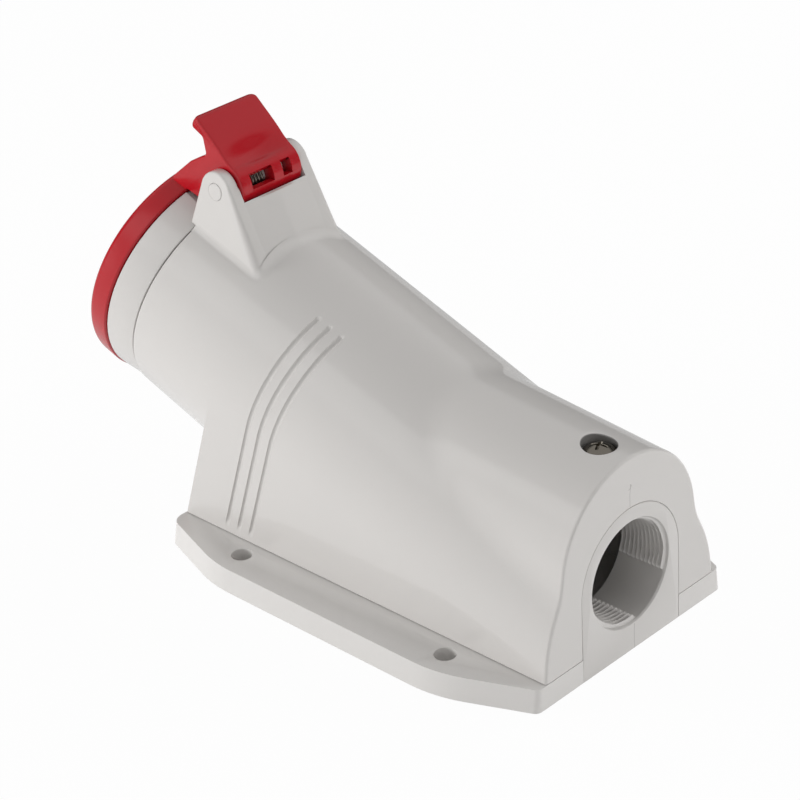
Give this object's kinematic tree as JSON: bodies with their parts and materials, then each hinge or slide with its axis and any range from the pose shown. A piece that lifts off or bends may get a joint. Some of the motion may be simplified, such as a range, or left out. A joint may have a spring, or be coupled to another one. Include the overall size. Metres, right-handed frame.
{
  "type": "angled surface mount socket",
  "caption": "Wall socket with a tilted round barrel, sprung hinged lid, hooded housing on a lugged base plate and a threaded cable entry.",
  "frame": {"origin": "middle of the four fixing holes on the back of the base plate", "axes": "+Z out of the wall, +X towards the cable entry, so the socket faces -X and up"},
  "size_m": [0.1928, 0.105, 0.1288],
  "materials": {
    "shell": "fine grained",
    "insert": "fine grained",
    "carrier": "smooth",
    "lid": "satin",
    "rubber": "matte",
    "steel": "satin",
    "spring": "satin",
    "brass": "satin"
  },
  "bodies": {
    "socket_body": {"base_plate": "shell", "entry_insert": "insert", "housing": "shell", "housing_seal": "rubber", "housing_screw": "steel", "screw_washer": "rubber", "screw_nut": "brass", "collar": "shell", "collar_seal": "rubber", "contact_carrier": "carrier", "clamp_plate": "carrier", "clamp_screw": "steel", "contact_l1": "brass", "contact_l2": "brass", "contact_l3": "brass", "contact_n": "brass", "contact_earth": "brass", "terminal_screw_l1": "steel", "terminal_screw_l2": "steel", "terminal_screw_l3": "steel", "terminal_screw_n": "steel", "terminal_screw_earth": "steel", "carrier_screw_left": "steel", "carrier_screw_right": "steel", "hinge_pin": "shell", "lid_spring": "spring"},
    "lid_body": {"lid": "lid", "lid_gasket": "rubber"}
  },
  "joints": [
    {"name": "lid_hinge", "type": "hinge", "parent": "socket_body", "child": "lid_body", "pos_m": [-0.06852, 0, 0.10949], "axis": [0, 1, 0], "range_deg": [0, 82], "stiffness_Nm_per_rad": 0.12, "springref_deg": -51.57, "deforming": ["lid_spring"]}
  ]
}
